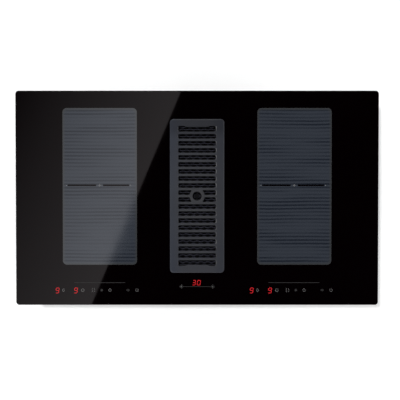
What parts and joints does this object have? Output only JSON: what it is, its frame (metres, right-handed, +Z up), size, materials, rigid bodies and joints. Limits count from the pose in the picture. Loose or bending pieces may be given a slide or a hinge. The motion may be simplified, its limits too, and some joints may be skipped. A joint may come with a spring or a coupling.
{
  "type": "downdraft induction cooktop",
  "caption": "Built-in black glass induction cooktop with a lift-off centre vent grille, grease filter well, under-slung blower box, flat-duct outlet with shutters and overflow drawer.",
  "frame": {"origin": "centre of the worktop cut-out at the worktop's upper surface, which is the underside of the sealing tape", "axes": "+X to the user's right, +Y to the rear wall, +Z up; the touch controls are at -Y"},
  "size_m": [0.88, 0.52, 0.218],
  "materials": {
    "black_glass_ceramic": "polished opaque black glass ceramic with grey printed zones and bevelled edge",
    "foam_tape": "closed-cell foam sealing tape",
    "galvanised_steel": "folded galvanised sheet steel, faint spangle",
    "screw_steel": "zinc-plated pan-head screw",
    "spring_steel": "spring steel",
    "stainless_steel": "brushed stainless sheet",
    "mesh_steel": "expanded stainless panel of the grease filter",
    "knitted_aluminium": "pad of knitted aluminium wire, modelled as one block",
    "pull_plastic": "moulded finger pull",
    "anthracite_grille": "cast aluminium, anthracite satin coating",
    "silicone_black": "black silicone rubber",
    "mica": "pressed mica sheet",
    "white_plastic": "natural white heat-resistant moulding",
    "ferrite": "sintered ferrite",
    "sensor_ceramic": "ceramic temperature sensor",
    "component_plastic": "capacitors, choke and relays",
    "circuit_board": "green circuit board",
    "black_plastic": "black glass-filled moulding",
    "contact_foam": "conductive foam",
    "terminal_plastic": "light grey terminal moulding",
    "scroll_plastic": "dark grey moulded fan housing",
    "wheel_plastic": "grey moulding",
    "motor_paint": "black painted motor can",
    "bearing_steel": "ground steel",
    "drawer_plastic": "dark grey moulded drawer",
    "plate_aluminium": "aluminium sheet",
    "bare_aluminium": "extruded aluminium",
    "litz_copper": null
  },
  "bodies": {
    "base": {"glass_top": "black_glass_ceramic", "worktop_gasket": "foam_tape", "glass_brackets": "galvanised_steel", "housing_screws": "screw_steel", "base_tray": "galvanised_steel", "worktop_clips": "spring_steel", "intake_well": "stainless_steel", "well_seal": "silicone_black", "mica_sheets": "mica", "coil_carriers": "white_plastic", "ferrite_bars": "ferrite", "coil_sensors": "sensor_ceramic", "coil_posts": "white_plastic", "coil_springs": "spring_steel", "board_standoffs": "white_plastic", "board_components": "component_plastic", "mains_filter": "component_plastic", "control_boards": "circuit_board", "control_holders": "black_plastic", "digit_modules": "white_plastic", "touch_contacts": "contact_foam", "terminal_box": "black_plastic", "terminal_block": "terminal_plastic", "cable_grommet": "silicone_black", "fan_box": "galvanised_steel", "driver_housing": "black_plastic", "scroll_lower": "scroll_plastic", "scroll_upper": "scroll_plastic", "heatsinks": "bare_aluminium", "fan_motor": "motor_paint", "motor_bearings": "bearing_steel", "blower_bushes": "silicone_black", "outlet_adapter": "scroll_plastic", "drawer_rails": "galvanised_steel", "coil_plate_left": "plate_aluminium", "power_board_left": "circuit_board", "cooling_fan_left": "black_plastic", "coil_winding_left_front": "litz_copper", "coil_winding_left_rear": "litz_copper", "coil_plate_right": "plate_aluminium", "power_board_right": "circuit_board", "cooling_fan_right": "black_plastic", "coil_winding_right_front": "litz_copper", "coil_winding_right_rear": "litz_copper"},
    "filter": {"filter_frame": "stainless_steel", "filter_panel": "mesh_steel", "filter_media": "knitted_aluminium", "filter_pull": "pull_plastic"},
    "grille": {"vent_grille": "anthracite_grille", "grille_feet": "silicone_black"},
    "blower": {"blower_wheel": "wheel_plastic", "wheel_blades": "wheel_plastic", "motor_shaft": "bearing_steel"},
    "cooling_rotor_left": {"cooling_rotor_left": "black_plastic"},
    "cooling_rotor_right": {"cooling_rotor_right": "black_plastic"},
    "drawer": {"overflow_drawer": "drawer_plastic"},
    "shutter_1": {"shutter_blade_1": "wheel_plastic"},
    "shutter_2": {"shutter_blade_2": "wheel_plastic"},
    "shutter_3": {"shutter_blade_3": "wheel_plastic"},
    "terminal_lid": {"terminal_lid": "black_plastic"}
  },
  "joints": [
    {"name": "filter_lift", "type": "slide", "parent": "base", "child": "filter", "axis": [0, 0, 1], "range_m": [0, 0.1]},
    {"name": "grille_lift", "type": "slide", "parent": "filter", "child": "grille", "axis": [0, 0, 1], "range_m": [0, 0.08]},
    {"name": "blower_spin", "type": "hinge", "parent": "base", "child": "blower", "pos_m": [-0.045, 0.043, -0.1938], "axis": [0, 0, 1], "continuous": true},
    {"name": "cooling_spin_left", "type": "hinge", "parent": "base", "child": "cooling_rotor_left", "pos_m": [-0.377, -0.032, -0.057], "axis": [0, 0, 1], "continuous": true},
    {"name": "cooling_spin_right", "type": "hinge", "parent": "base", "child": "cooling_rotor_right", "pos_m": [0.377, -0.032, -0.057], "axis": [0, 0, 1], "continuous": true},
    {"name": "drawer_slide", "type": "slide", "parent": "base", "child": "drawer", "axis": [0, -1, 0], "range_m": [0, 0.1]},
    {"name": "shutter_swing_1", "type": "hinge", "parent": "base", "child": "shutter_1", "pos_m": [0.04582, 0.211, -0.1157], "axis": [1, 0, 0], "range_deg": [0, 75]},
    {"name": "shutter_swing_2", "type": "hinge", "parent": "base", "child": "shutter_2", "pos_m": [0.04582, 0.211, -0.14303], "axis": [1, 0, 0], "range_deg": [0, 75]},
    {"name": "shutter_swing_3", "type": "hinge", "parent": "base", "child": "shutter_3", "pos_m": [0.04582, 0.211, -0.17037], "axis": [1, 0, 0], "range_deg": [0, 75]},
    {"name": "lid_swing", "type": "hinge", "parent": "base", "child": "terminal_lid", "pos_m": [-0.298, 0.1648, -0.085], "axis": [-1, 0, 0], "range_deg": [0, 100]}
  ]
}
